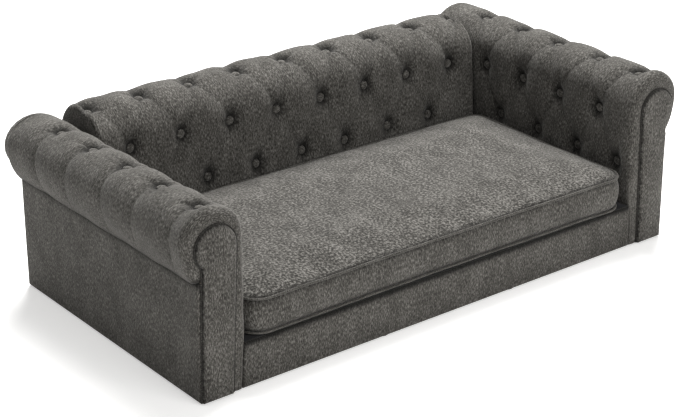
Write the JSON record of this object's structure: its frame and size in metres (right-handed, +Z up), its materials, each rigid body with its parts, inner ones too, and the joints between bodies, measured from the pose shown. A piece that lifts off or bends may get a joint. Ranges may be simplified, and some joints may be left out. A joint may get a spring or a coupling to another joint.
{
  "type": "dog sofa bed",
  "caption": "Low upholstered pet sofa with rolled arms and back, diamond-buttoned tufting, a padded base and a loose piped seat cushion with a zip.",
  "frame": {"origin": "centre of the footprint at floor level", "axes": "+X to the right-hand arm as seen by someone facing the front, +Y from the front to the back, +Z up"},
  "size_m": [1.249, 0.6593, 0.3849],
  "materials": {
    "cover_fabric": "matt heathered warm-grey chenille",
    "cushion_fabric": "matt heathered warm-grey chenille, railroaded the other way",
    "welt_fabric": "the same chenille wrapped round a cord",
    "button_fabric": "the same chenille over a button shell",
    "lining": "plain black non-woven",
    "padding": "white polyester wadding",
    "foam": null,
    "plywood": "raw poplar plywood",
    "hardboard": "raw brown hardboard",
    "steel": "zinc-plated",
    "zip_metal": "black lacquer",
    "zip_tape": "black woven tape with a nylon coil",
    "feet": "black nylon, slightly textured"
  },
  "bodies": {
    "frame": {"arm_bolts": "steel", "back_bolts": "steel", "back_bottom_rail": "plywood", "back_buttons": "button_fabric", "back_centre_board": "plywood", "back_inner_panel": "hardboard", "back_outer_cover": "cover_fabric", "back_outer_panel": "hardboard", "back_pad": "cover_fabric", "back_roll_board": "hardboard", "base_front_cover": "cover_fabric", "base_front_rail": "plywood", "base_rear_rail": "plywood", "bolt_nuts": "steel", "deck": "plywood", "deck_cover": "lining", "deck_pad": "padding", "dust_cover": "lining", "glide_feet": "feet", "left_arm_bottom_rail": "plywood", "left_arm_buttons": "button_fabric", "left_arm_facing": "cover_fabric", "left_arm_facing_welt": "welt_fabric", "left_arm_front_board": "plywood", "left_arm_inner_panel": "hardboard", "left_arm_outer_cover": "cover_fabric", "left_arm_outer_panel": "hardboard", "left_arm_pad": "cover_fabric", "left_arm_rear_board": "plywood", "left_arm_rear_cover": "cover_fabric", "left_arm_roll_board": "hardboard", "left_arm_roll_end": "cover_fabric", "left_back_end_board": "plywood", "left_base_cross_rail": "plywood", "left_base_side_rail": "plywood", "right_arm_bottom_rail": "plywood", "right_arm_buttons": "button_fabric", "right_arm_facing": "cover_fabric", "right_arm_facing_welt": "welt_fabric", "right_arm_front_board": "plywood", "right_arm_inner_panel": "hardboard", "right_arm_outer_cover": "cover_fabric", "right_arm_outer_panel": "hardboard", "right_arm_pad": "cover_fabric", "right_arm_rear_board": "plywood", "right_arm_rear_cover": "cover_fabric", "right_arm_roll_board": "hardboard", "right_arm_roll_end": "cover_fabric", "right_back_end_board": "plywood", "right_base_cross_rail": "plywood", "right_base_side_rail": "plywood"},
    "cushion": {"cushion_foam": "foam", "cushion_top_panel": "cushion_fabric", "cushion_bottom_panel": "lining", "cushion_band": "cushion_fabric", "cushion_top_welt": "welt_fabric", "cushion_bottom_welt": "welt_fabric", "cushion_zip": "zip_tape"},
    "slider": {"zip_slider": "zip_metal"},
    "pull": {"zip_pull": "zip_metal"}
  },
  "joints": [
    {"name": "cushion_lift", "type": "slide", "parent": "frame", "child": "cushion", "axis": [0, 0, 1], "range_m": [0, 0.32]},
    {"name": "zip_run", "type": "slide", "parent": "cushion", "child": "slider", "axis": [1, 0, 0], "range_m": [-0.78, 0]},
    {"name": "pull_swing", "type": "hinge", "parent": "slider", "child": "pull", "pos_m": [0.39, 0.143, 0.1338], "axis": [0, 0, 1], "range_deg": [0, 35]}
  ]
}
